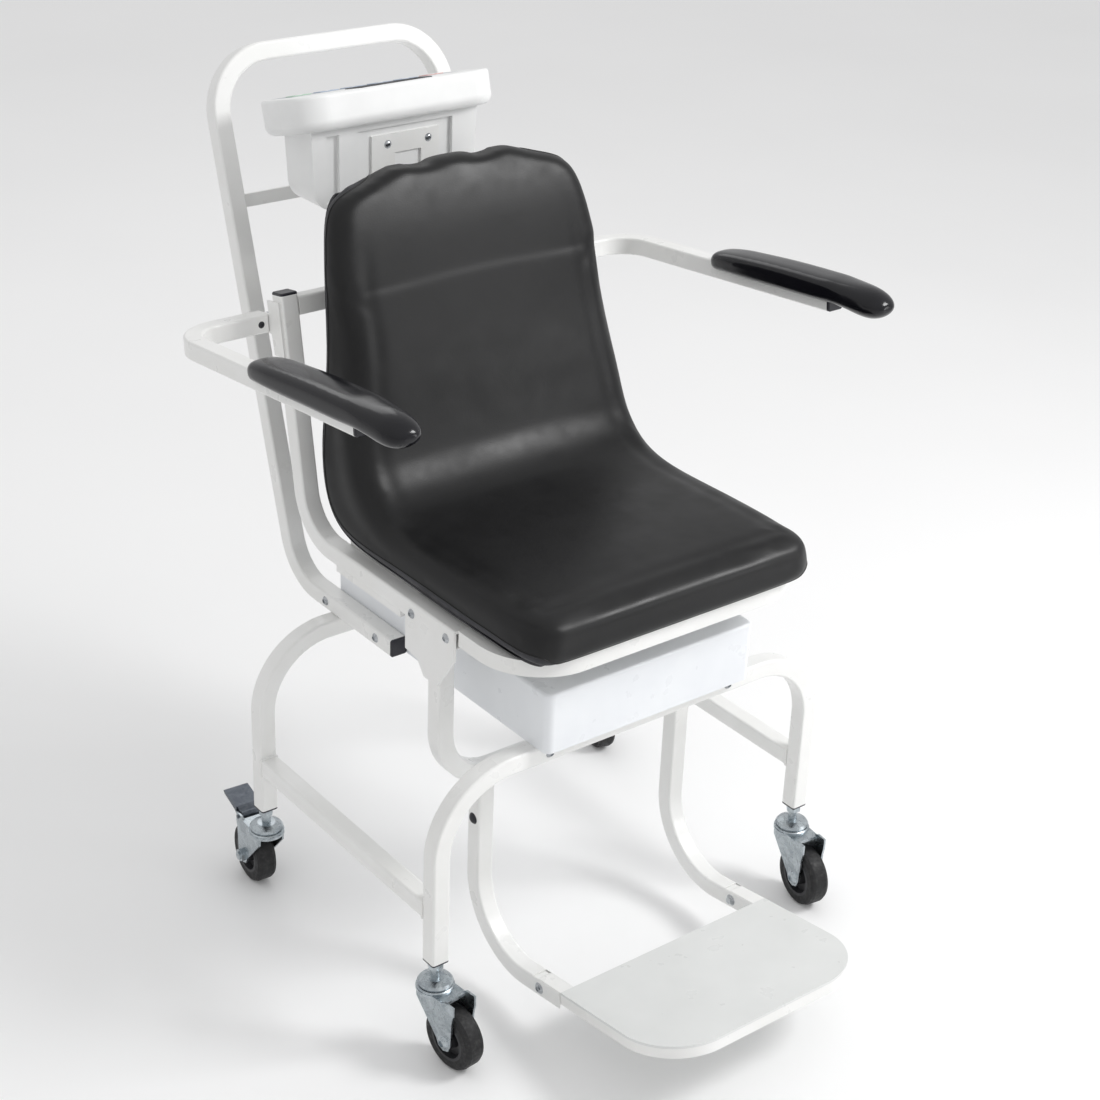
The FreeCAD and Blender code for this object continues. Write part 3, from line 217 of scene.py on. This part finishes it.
def brushed(name, light, dark):
    """Metal with long brush lines along X."""
    f = Finish(name, 0.3, metallic=1.0)
    lines = f.noise(0.0006, 3, 0.6, f.stretched(0.02, 1, 1))
    f.colour(f.tint(f.spread(lines, 0, 1), dark, light))
    f.roughness(f.spread(lines, 0.24, 0.42))
    f.relief((lines, 0.00002, 0.6))
    return f.material


def glass(name):
    """Smoked display window with fine dust."""
    f = Finish(name, 0.08, coat=0.6, coat_roughness=0.03)
    f.colour(f.tint(f.spread(f.noise(0.05, 2), 0, 1), (0.34, 0.38, 0.32), (0.40, 0.44, 0.37)))
    f.roughness(f.spread(f.noise(0.0015, 4, 0.7), 0.06, 0.16, 0.45, 0.8))
    f.relief((f.noise(0.03, 1), 0.00004, 0.1))
    return f.material


def circuit(name):
    """Green board with lighter copper runs under the mask."""
    f = Finish(name, 0.35)
    runs = f.cells(0.004, "DISTANCE_TO_EDGE")
    f.colour(f.tint(f.spread(runs, 0, 1, 0.02, 0.06), (0.05, 0.2, 0.08), (0.01, 0.07, 0.03)))
    f.relief((runs, 0.00003, 0.5))
    return f.material


# one finish for each of the record's material slots, and one more for the duller footplate
FINISHES = {
    "footplate_paint": powder_coat("footplate_paint_look", (0.74, 0.75, 0.74), (0.69, 0.70, 0.69),
                                   (0.5, 0.5, 0.49)),
    "frame_paint": powder_coat("frame_paint_look", (0.87, 0.87, 0.86), (0.81, 0.81, 0.79)),
    "housing_paint": powder_coat("housing_paint_look", (0.84, 0.86, 0.88), (0.78, 0.80, 0.83), scuff_top=0.1),
    "cell_alloy": brushed("cell_alloy_look", (0.72, 0.73, 0.74), (0.5, 0.51, 0.52)),
    "zinc": zinc("zinc_look", (0.62, 0.67, 0.7), (0.30, 0.34, 0.37)),
    "tyre_rubber": rubber("tyre_rubber_look", (0.07, 0.068, 0.065), (0.012, 0.012, 0.013)),
    "hub_plastic": moulded("hub_plastic_look", (0.022, 0.022, 0.025), (0.013, 0.013, 0.015), 0.42),
    "pedal_metal": zinc("pedal_metal_look", (0.20, 0.22, 0.25), (0.09, 0.10, 0.12), 0.28, 0.45),
    "screw_steel": zinc("screw_steel_look", (0.62, 0.64, 0.66), (0.34, 0.36, 0.38)),
    "black_plastic": moulded("black_plastic_look", (0.014, 0.014, 0.022), (0.008, 0.008, 0.013), 0.34),
    "seat_skin": skin("seat_skin_look", (0.0075, 0.0075, 0.008), (0.0045, 0.0045, 0.005), 0.4, 0.0013,
                      0.00009, specular=0.34),
    "shell_plastic": moulded("shell_plastic_look", (0.016, 0.016, 0.022), (0.010, 0.010, 0.014), 0.5, 0.0022,
                             0.0001),
    "arm_pad_skin": skin("arm_pad_look", (0.0065, 0.0065, 0.009), (0.004, 0.004, 0.006), 0.17, 0.0016,
                         0.00002, specular=0.3, coat=0.12),
    "console_white": moulded("console_white_look", (0.86, 0.865, 0.86), (0.81, 0.815, 0.81), 0.38),
    "display_glass": glass("display_glass_look"),
    "keypad_grey": moulded("keypad_grey_look", (0.50, 0.53, 0.56), (0.45, 0.48, 0.51), 0.45, 0.0006),
    "board_green": circuit("board_green_look"),
    "battery_wrap": moulded("battery_wrap_look", (0.06, 0.10, 0.28), (0.04, 0.07, 0.2), 0.3),
}
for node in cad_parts.values():
    for material_slot in node.material_slots:
        material_slot.material = FINISHES[material_slot.material.name]
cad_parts["footplate"].material_slots[0].material = FINISHES["footplate_paint"]


# --- mesh helpers ---------------------------------------------------------------------------------
def link(name, data):
    piece = bpy.data.objects.new(name, data)
    bpy.context.scene.collection.objects.link(piece)
    return piece


def evaluated(piece):
    """The piece's mesh with its modifiers applied."""
    graph = bpy.context.evaluated_depsgraph_get()
    return bpy.data.meshes.new_from_object(piece.evaluated_get(graph))


def bake_modifiers(piece):
    mesh = evaluated(piece)
    piece.modifiers.clear()
    piece.data = mesh


def smooth_shading(piece):
    piece.data.polygons.foreach_set("use_smooth", [True] * len(piece.data.polygons))


def dress(piece, slot, body):
    """One finish on the whole piece, which then rides on a body."""
    piece.data.materials.clear()
    piece.data.materials.append(FINISHES[slot])
    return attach(piece, body)


def mesh_piece(name, points, faces):
    mesh = bpy.data.meshes.new(name)
    mesh.from_pydata([tuple(p) for p in points], [], faces)
    mesh.update()
    return link(name, mesh)


def tube_piece(name, points, radius, cyclic=False, sides=4):
    """A round bead along a line."""
    curve = bpy.data.curves.new(name, "CURVE")
    curve.dimensions = "3D"
    curve.bevel_depth = radius
    curve.bevel_resolution = sides
    spline = curve.splines.new("POLY")
    spline.points.add(len(points) - 1)
    for point, place in zip(spline.points, points):
        point.co = (*place, 1)
    spline.use_cyclic_u = cyclic
    holder = link(name + "_line", curve)
    piece = link(name, evaluated(holder))
    bpy.data.objects.remove(holder)
    smooth_shading(piece)
    return piece


def surface_tree(node):
    """Nearest-point search on a CAD node."""
    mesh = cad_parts[node].data
    return BVHTree.FromPolygons([v.co for v in mesh.vertices], [tuple(p.vertices) for p in mesh.polygons])


# --- soft parts -----------------------------------------------------------------------------------
def remeshed(node, name, voxel):
    """A closed, evenly meshed copy of a CAD solid."""
    piece = link(name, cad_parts[node].data.copy())
    weld = piece.modifiers.new("weld", "WELD")
    weld.merge_threshold = 0.01 * MM
    remesh = piece.modifiers.new("remesh", "REMESH")
    remesh.mode = "VOXEL"
    remesh.voxel_size = voxel
    bake_modifiers(piece)
    return piece


def relax(piece, factor, rounds):
    smooth = piece.modifiers.new("smooth", "SMOOTH")
    smooth.factor = factor
    smooth.iterations = rounds
    bake_modifiers(piece)


def subdivide(piece):
    piece.modifiers.new("subdivide", "SUBSURF").levels = 1
    bake_modifiers(piece)
    smooth_shading(piece)


def move_vertices(piece, offset):
    """Moves each vertex by offset(place, normal)."""
    mesh = piece.data
    moved = [v.co + offset(v.co.copy(), v.normal.copy()) for v in mesh.vertices]
    for vertex, place in zip(mesh.vertices, moved):
        vertex.co = place
    mesh.update()


def inflate(piece, held, pressure, cap, frames=20):
    """Cloth under pressure. held(place) says which points stay, and no point moves further than cap."""
    rest = [v.co.copy() for v in piece.data.vertices]
    group = piece.vertex_groups.new(name="held")
    group.add([i for i, p in enumerate(rest) if held(p)], 1.0, "REPLACE")
    cloth = piece.modifiers.new("cloth", "CLOTH")
    cloth.settings.use_pressure = True
    cloth.settings.uniform_pressure_force = pressure
    cloth.settings.vertex_group_mass = "held"
    cloth.settings.effector_weights.gravity = 0
    cloth.settings.quality = 4
    for number in range(1, frames + 1):
        bpy.context.scene.frame_set(number)
    swollen = evaluated(piece)
    piece.modifiers.clear()
    for vertex, start, end in zip(piece.data.vertices, rest, swollen.vertices):
        step = end.co - start
        vertex.co = start + step * min(1.0, cap / max(step.length, 1e-9))
    bpy.data.meshes.remove(swollen)
    bpy.context.scene.frame_set(1)


SEAT_VOXEL = 5 * MM
SEAT_SHRINK = 2 * MM              # the pad swells back by about as much
SEAT_CAP = 3.5 * MM
BEAD_LEVEL = 12.5 * MM            # the parting line lies this far from the backing shell
BEAD_R = 0.9 * MM
RIM_AT, RIM_WIDTH, RIM_DEPTH = 33 * MM, 9 * MM, 1.2 * MM


RIM_FADE = (55 * MM, 115 * MM)    # the rim dies out between these depths below the top edge
THIN_TOP = 115 * MM               # the thin top of the back, which isn't inflated
TRAY_CONTACT = 4 * MM             # closer to the tray than this, the pad lies on it
SEAT_LOW, SEAT_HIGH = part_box("seat_pad")


def is_rim_wall(place, normal):
    """True on the outer walls of the moulded seat: its sides and its front edge."""
    front = place.y < SEAT_LOW.y + 30 * MM and normal.y < -0.75
    return abs(normal.x) > 0.8 or front


def contour(mesh, values, level):
    """The longest closed line on a mesh where its vertex values pass level."""
    links, places = defaultdict(list), {}
    for polygon in mesh.polygons:
        crossed = [(a, b) for a, b in polygon.edge_keys if (values[a] < level) != (values[b] < level)]
        if len(crossed) == 2:
            links[crossed[0]].append(crossed[1])
            links[crossed[1]].append(crossed[0])
        for a, b in crossed:
            share = (level - values[a]) / (values[b] - values[a])
            places[(a, b)] = mesh.vertices[a].co.lerp(mesh.vertices[b].co, share)
    seen, longest = set(), []
    for start in sorted(links):
        line, at = [], start
        while at is not None and at not in seen:
            seen.add(at)
            line.append(places[at])
            at = next((n for n in links[at] if n not in seen), None)
        if len(line) > len(longest):
            longest = line
    return longest


def evened(line, spacing, rounds=4):
    """A closed line smoothed and thinned to about the given spacing."""
    for _ in range(rounds):
        line = [(line[i - 1] + 2 * line[i] + line[(i + 1) % len(line)]) / 4 for i in range(len(line))]
    kept = [line[0]]
    for point in line[1:]:
        if (point - kept[-1]).length >= spacing:
            kept.append(point)
    return kept


def seat_cushion():
    """The moulded seat and back: crowned, with a rolled rim and a parting line above its dark backing."""
    shell = surface_tree("seat_shell")
    tray = surface_tree("seat_tray")

    def backing_distance(place):
        return shell.find_nearest(place)[3]

    def held(place):
        thin_top = place.z > SEAT_HIGH.z - THIN_TOP
        on_tray = tray.find_nearest(place)[3] < TRAY_CONTACT
        return thin_top or on_tray or backing_distance(place) < BEAD_LEVEL

    seat = remeshed("seat_pad", "seat_cushion", SEAT_VOXEL)
    relax(seat, 0.5, 3)
    move_vertices(seat, lambda place, normal: Vector() if held(place) else -SEAT_SHRINK * normal)
    inflate(seat, held, pressure=4, cap=SEAT_CAP)
    relax(seat, 0.5, 10)
    subdivide(seat)

    walls = [v.co.copy() for v in seat.data.vertices if is_rim_wall(v.co, v.normal)]
    rim = KDTree(len(walls))
    for index, place in enumerate(walls):
        rim.insert(place, index)
    rim.balance()

    def rolled_rim(place, normal):
        if backing_distance(place) < 2 * BEAD_LEVEL:
            return Vector()
        across = (rim.find(place)[2] - RIM_AT) / RIM_WIDTH
        below_top = (SEAT_HIGH.z - place.z - RIM_FADE[0]) / (RIM_FADE[1] - RIM_FADE[0])
        return normal * -RIM_DEPTH * math.exp(-across * across) * min(1.0, max(0.0, below_top))

    move_vertices(seat, rolled_rim)
    distances = [backing_distance(v.co) for v in seat.data.vertices]
    line = contour(seat.data, distances, BEAD_LEVEL)
    seat.data.materials.clear()
    seat.data.materials.append(FINISHES["seat_skin"])
    seat.data.materials.append(FINISHES["shell_plastic"])
    for polygon in seat.data.polygons:
        nearest = sum(distances[i] for i in polygon.vertices) / len(polygon.vertices)
        polygon.material_index = 1 if nearest < BEAD_LEVEL else 0
    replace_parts(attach(seat, "base_frame"), "seat_pad")
    bead = tube_piece("seat_parting_bead", evened(line, 3 * MM), BEAD_R, cyclic=True)
    dress(bead, "seat_skin", "base_frame")


ARM_VOXEL = 2 * MM


def arm_cushion(side):
    """A glossy self-skinned arm pad, finely meshed and softened at its edges."""
    pad = remeshed(f"{side}_arm_pad", f"{side}_arm_cushion", ARM_VOXEL)
    relax(pad, 0.5, 4)
    subdivide(pad)
    dress(pad, "arm_pad_skin", f"{side}_arm")
    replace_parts(pad, f"{side}_arm_pad")


seat_cushion()
for side in ("right", "left"):
    arm_cushion(side)


# --- weld beads -----------------------------------------------------------------------------------
WELD_R = 1.5 * MM
WELD_CLEAR = 0.2 * MM             # the bead stands this far off the tube it rings
RIPPLE, RIPPLES_PER_METRE = 0.35 * MM, 900
FOOTREST_SINK = 3 * MM            # the footrest tubes reach this far into the hanger


def square_loop(centre, u, v, half, corner=3 * MM, step=1.6 * MM):
    """Points round a rounded square with half-width half, in the plane of u and v."""
    line = []
    flat = half - corner
    for turn in range(4):
        a, b = ((u, v), (v, -u), (-u, -v), (-v, u))[turn]
        count = int(2 * flat / step)
        line += [centre + a * half + b * (flat - 2 * flat * i / count) for i in range(count)]
        line += [centre + a * flat - b * flat + corner * (a * math.cos(t) - b * math.sin(t))
                 for t in (0, math.pi / 8, math.pi / 4, 3 * math.pi / 8)]
    return line


def weld(name, centre, u, v, half, body="base_frame"):
    """A rippled bead round the end of a square tube."""
    line = square_loop(Vector(centre), Vector(u), Vector(v), half)
    bead = tube_piece(name, line, WELD_R, cyclic=True, sides=3)
    move_vertices(bead, lambda place, normal: normal * RIPPLE * noise.noise(place * RIPPLES_PER_METRE))
    dress(bead, "frame_paint", body)


for side in ("right", "left"):
    low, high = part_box(f"{side}_base_rail")
    centre, half = (low + high) / 2, (high.z - low.z) / 2
    for end, y in (("front", low.y), ("rear", high.y)):
        weld(f"weld_{side}_rail_{end}", (centre.x, y, centre.z), (1, 0, 0), (0, 0, 1), half + WELD_CLEAR)
    low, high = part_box("footrest_hanger")
    x = (1 if side == "left" else -1) * (high.x - half)
    weld(f"weld_{side}_hanger", (x, (low.y + high.y) / 2, high.z), (1, 0, 0), (0, 1, 0), half + WELD_CLEAR)
    low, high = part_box(f"{side}_footrest_tube")
    weld(f"weld_{side}_footrest", ((low.x + high.x) / 2, high.y - half, high.z - FOOTREST_SINK),
         (1, 0, 0), (0, 1, 0), half + WELD_CLEAR)


# --- console details ------------------------------------------------------------------------------
def top_face(node):
    """Matrix of the frame on a tilted plate's largest upward face: X along the row's X, Z outwards."""
    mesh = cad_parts[node].data
    upward = [p for p in mesh.polygons if p.normal.z > 0.5]
    area = sum(p.area for p in upward)
    centre = sum((p.center * p.area for p in upward), Vector()) / area
    normal = sum((p.normal * p.area for p in upward), Vector()).normalized()
    across = Vector((1, 0, 0))
    return Matrix.Translation(centre) @ Matrix((across, normal.cross(across), normal)).transposed().to_4x4()


def rounded_outline(width, depth, radius, corner_steps=6):
    """Counter-clockwise rounded rectangle about the origin."""
    points = []
    for quarter in range(4):
        sx, sy = ((1, 1), (-1, 1), (-1, -1), (1, -1))[quarter]
        cx, cy = sx * (width / 2 - radius), sy * (depth / 2 - radius)
        for i in range(corner_steps + 1):
            t = math.pi / 2 * (quarter + i / corner_steps)
            points.append((cx + radius * math.cos(t), cy + radius * math.sin(t)))
    return points


def raised_plate(name, place, width, depth, radius, height, bevel, dish=0.0):
    """A low key or panel with a rounded outline, a bevelled edge and a dished top."""
    rings = [(0, -0.2 * MM), (0, height - bevel), (0.3 * bevel, height - 0.3 * bevel), (bevel, height),
             (2.2 * bevel, height - 0.15 * dish), (0.3 * depth, height - dish)]
    points, faces = [], []
    for inset, level in rings:
        outline = rounded_outline(width - 2 * inset, depth - 2 * inset, max(radius - inset, 0.2 * MM))
        points += [place @ Vector((x, y, level)) for x, y in outline]
    count = len(points) // len(rings)
    for ring in range(len(rings) - 1):
        for i in range(count):
            a, b = ring * count + i, ring * count + (i + 1) % count
            faces.append((a, b, b + count, a + count))
    faces.append(tuple(range((len(rings) - 1) * count, len(points))))
    faces.append(tuple(reversed(range(count))))
    piece = mesh_piece(name, points, faces)
    smooth_shading(piece)
    return piece


KEY_COLOURS = {"key_blue": ((0.46, 0.53, 0.64), (0.42, 0.49, 0.60)),
               "key_red": ((0.70, 0.44, 0.42), (0.66, 0.40, 0.38)),
               "key_green": ((0.48, 0.66, 0.52), (0.44, 0.62, 0.48))}
for name, (light, dark) in KEY_COLOURS.items():
    FINISHES[name] = moulded(name + "_look", light, dark, 0.4, 0.0006)
KEYS = ("key_green", "key_blue", "key_blue", "key_blue", "key_blue", "key_red")
KEY_W, KEY_D, KEY_H, KEY_PITCH = 27 * MM, 19 * MM, 0.9 * MM, 37 * MM
SYMBOL_R, SYMBOL_LINE = 4 * MM, 0.35 * MM


def symbol(name, place, sides, radius, width, turn=0.0):
    """A ring, triangle, square or hexagon on a key, as a thin raised line."""
    line = [place @ Vector((radius * math.cos(t), radius * math.sin(t), KEY_H - 0.05 * MM))
            for t in (turn + 2 * math.pi * i / sides for i in range(sides))]
    piece = tube_piece(name, line, width, cyclic=True, sides=2)
    dress(piece, "console_white", "base_frame")


def keys():
    face = top_face("keypad")
    sides_and_turns = ((32, 0.0), (3, math.pi / 2), (3, -math.pi / 2), (4, math.pi / 4), (6, 0.0), (32, 0.0))
    for index, finish in enumerate(KEYS):
        at = face @ Matrix.Translation(((index - (len(KEYS) - 1) / 2) * KEY_PITCH, 0, 0))
        key = raised_plate(f"key_{index + 1}", at, KEY_W, KEY_D, 4 * MM, KEY_H, 0.5 * MM, 0.15 * MM)
        key.data.materials.append(FINISHES[finish])
        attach(key, "base_frame")
        sides, turn = sides_and_turns[index]
        symbol(f"key_symbol_{index + 1}", at, sides, SYMBOL_R, SYMBOL_LINE, turn)


DIGIT_H, DIGIT_W, BAR_W, BAR_GAP = 21 * MM, 11 * MM, 2.2 * MM, 0.35 * MM
DIGITS_X, POINT_X = (-18 * MM, 8 * MM), -5 * MM


def zero_bars():
    """Centre, half length and uprightness of each bar of a nought, clockwise from the top."""
    w, h = DIGIT_W / 2, DIGIT_H / 2
    return [((0, h), w, False), ((w, h / 2), h / 2, True), ((w, -h / 2), h / 2, True), ((0, -h), w, False),
            ((-w, -h / 2), h / 2, True), ((-w, h / 2), h / 2, True)]


def readout():
    """The display's figures, as dark bars just proud of the window."""
    face = top_face("display_window")
    points, faces = [], []
    level, thick = -0.05 * MM, 0.12 * MM
    for place_x in DIGITS_X:
        for (cx, cy), half, upright in zero_bars():
            long, wide = half - BAR_GAP, BAR_W / 2
            outline = [(-long, 0), (-long + wide, -wide), (long - wide, -wide),
                       (long, 0), (long - wide, wide), (-long + wide, wide)]
            if upright:
                outline = [(-y, x) for x, y in outline]
            start = len(points)
            for z in (level, level + thick):
                points += [face @ Vector((place_x + cx + x, cy + y, z)) for x, y in outline]
            faces.append(tuple(range(start + 6, start + 12)))
            faces.append(tuple(reversed(range(start, start + 6))))
            faces += [(start + i, start + (i + 1) % 6, start + 6 + (i + 1) % 6, start + 6 + i)
                      for i in range(6)]
    piece = mesh_piece("display_figures", points, faces)
    dress(piece, "black_plastic", "base_frame")
    point_at = face @ Matrix.Translation((POINT_X, -DIGIT_H / 2, 0))
    point = raised_plate("display_point", point_at, 2.6 * MM, 2.6 * MM, 1.2 * MM, 0.1 * MM, 0.05 * MM)
    dress(point, "black_plastic", "base_frame")


def bezel():
    """A thin lip round the display window."""
    low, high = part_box("display_window")
    face = top_face("display_window")
    depth = (high.y - low.y) / math.cos(math.atan2(high.z - low.z, high.y - low.y))
    outline = rounded_outline(high.x - low.x + 2 * MM, depth + 1 * MM, 3 * MM)
    line = [face @ Vector((x, y, 0)) for x, y in outline]
    dress(tube_piece("display_bezel", line, 1.1 * MM, cyclic=True), "black_plastic", "base_frame")


keys()
readout()
bezel()


# --- studio ---------------------------------------------------------------------------------------
def floor():
    half = 40.0
    corners = [(-half, -half, 0), (half, -half, 0), (half, half, 0), (-half, half, 0)]
    piece = mesh_piece("studio_floor", corners, [(0, 1, 2, 3)])
    f = Finish("studio_floor_look", 0.7, specular=0.2)
    f.colour(f.tint(f.spread(f.noise(0.8, 3), 0, 1), (0.90, 0.90, 0.90), (0.92, 0.92, 0.92)))
    piece.data.materials.append(f.material)
    piece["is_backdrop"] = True


def softbox(name, direction, distance, size, power):
    """A square area light that faces the middle of the object."""
    centre = (cad_low + cad_high) / 2
    light = bpy.data.lights.new(name, "AREA")
    light.shape = "SQUARE"
    light.size = size
    light.energy = power
    lamp = link(name, light)
    towards = Vector(direction).normalized()
    lamp.location = centre + towards * distance
    lamp.rotation_mode = "QUATERNION"
    lamp.rotation_quaternion = towards.to_track_quat("Z", "Y")


def sky():
    """Studio dome: bright overhead, dimmer near the horizon."""
    world = bpy.data.worlds.new("studio")
    world.use_nodes = True
    tree = world.node_tree
    place = tree.nodes.new("ShaderNodeTexCoord")
    split = tree.nodes.new("ShaderNodeSeparateXYZ")
    ramp = tree.nodes.new("ShaderNodeValToRGB")
    ramp.color_ramp.elements[0].position = 0.0
    ramp.color_ramp.elements[0].color = (0.80, 0.80, 0.81, 1)
    ramp.color_ramp.elements[1].position = 0.9
    ramp.color_ramp.elements[1].color = (1, 1, 1, 1)
    tree.links.new(place.outputs["Generated"], split.inputs[0])
    tree.links.new(split.outputs["Z"], ramp.inputs["Fac"])
    tree.links.new(ramp.outputs["Color"], tree.nodes["Background"].inputs["Color"])
    tree.nodes["Background"].inputs["Strength"].default_value = 0.8
    bpy.context.scene.world = world


CAMERA_AT = Vector((-1.3582, -1.7341, 1.6026))
CAMERA_YAW, CAMERA_PITCH, CAMERA_ROLL = (math.radians(a) for a in (-38.524, 27.21, 2.272))
LENS, SENSOR = 69.94, 36.0


def camera():
    """Looks down at the object from in front, to the sitter's right."""
    level = math.cos(CAMERA_PITCH)
    back = Vector((math.sin(CAMERA_YAW) * level, -math.cos(CAMERA_YAW) * level, math.sin(CAMERA_PITCH)))
    right = UP.cross(back).normalized()
    up = back.cross(right)
    c, s = math.cos(CAMERA_ROLL), math.sin(CAMERA_ROLL)
    turned = Matrix((right * c + up * s, up * c - right * s, back)).transposed()
    data = bpy.data.cameras.new("camera")
    data.lens = LENS
    data.sensor_width = SENSOR
    data.clip_end = 200
    eye = link("camera", data)
    eye.matrix_world = Matrix.Translation(CAMERA_AT) @ turned.to_4x4()
    bpy.context.scene.camera = eye


floor()
softbox("key_light", direction=(0.55, -0.54, 0.63), distance=2.6, size=0.8, power=34)
softbox("right_fill", direction=(0.7, -0.9, 0.12), distance=2.6, size=0.7, power=5)
softbox("back_light", direction=(0.35, 1.0, 0.8), distance=3.0, size=1.2, power=5)
sky()
camera()
bpy.context.scene.view_settings.view_transform = "Standard"

low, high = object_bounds()
